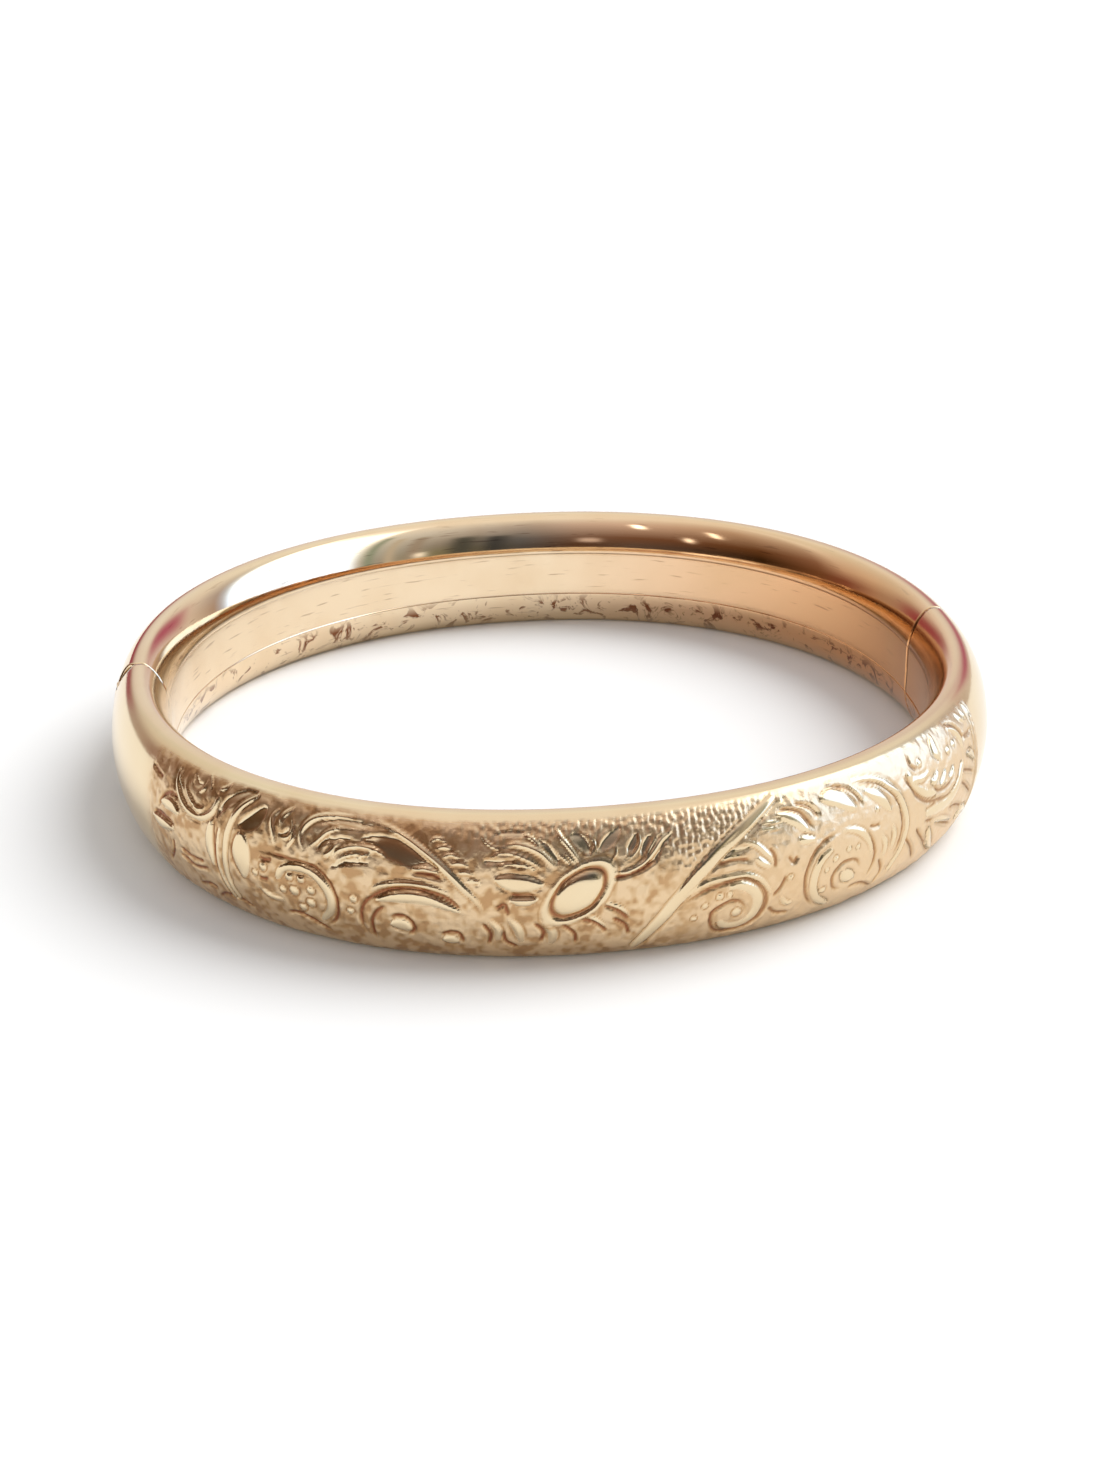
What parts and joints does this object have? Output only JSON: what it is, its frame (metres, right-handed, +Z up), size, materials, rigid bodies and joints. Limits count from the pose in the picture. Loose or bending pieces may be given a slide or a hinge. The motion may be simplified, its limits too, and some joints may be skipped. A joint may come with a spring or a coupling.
{
  "type": "hinged bangle bracelet",
  "caption": "Hinged oval bangle with a domed hollow band, engraved scrollwork on the front half, a plain back half and a concealed snap catch.",
  "frame": {"origin": "centre of the oval, on the plane the bangle lies on", "axes": "+X from the hinge to the catch, +Y from the engraved front half to the plain back half, +Z up across the band's height"},
  "size_m": [0.067, 0.0646, 0.0104],
  "materials": {
    "engraved_gold": "gold-filled sheet, hand-engraved and stippled, then polished",
    "polished_gold": "gold-filled sheet, bright polished, finely scratched",
    "liner_gold": "gold-filled inner sheet, worn satin with brown tarnish",
    "plate_gold": "gold-filled plate, filed flat",
    "hinge_gold": "drawn tube and wire, polished",
    "spring_brass": "rolled spring brass, satin"
  },
  "bodies": {
    "front_half": {"front_outer_shell": "engraved_gold", "front_inner_liner": "liner_gold", "front_hinge_plate": "plate_gold", "front_catch_plate": "plate_gold", "catch_box": "spring_brass", "front_knuckle_1": "hinge_gold", "front_knuckle_3": "hinge_gold", "front_knuckle_5": "hinge_gold", "hinge_pin": "hinge_gold"},
    "back_half": {"back_outer_shell": "polished_gold", "back_inner_liner": "liner_gold", "back_hinge_plate": "plate_gold", "back_catch_plate": "plate_gold", "tongue_blade": "spring_brass", "tongue_rivet": "spring_brass", "back_knuckle_2": "hinge_gold", "back_knuckle_4": "hinge_gold"},
    "spring_leaf": {"tongue_spring": "spring_brass"}
  },
  "joints": [
    {"name": "bangle_hinge", "type": "hinge", "parent": "front_half", "child": "back_half", "pos_m": [-0.03225, 0, 0.0052], "axis": [0, 0, 1], "range_deg": [0, 45]},
    {"name": "catch_spring", "type": "hinge", "parent": "back_half", "child": "spring_leaf", "pos_m": [0.03135, 0.0003, 0.0052], "axis": [0, 0, -1], "range_deg": [0, 5], "stiffness_Nm_per_rad": 0.02}
  ]
}
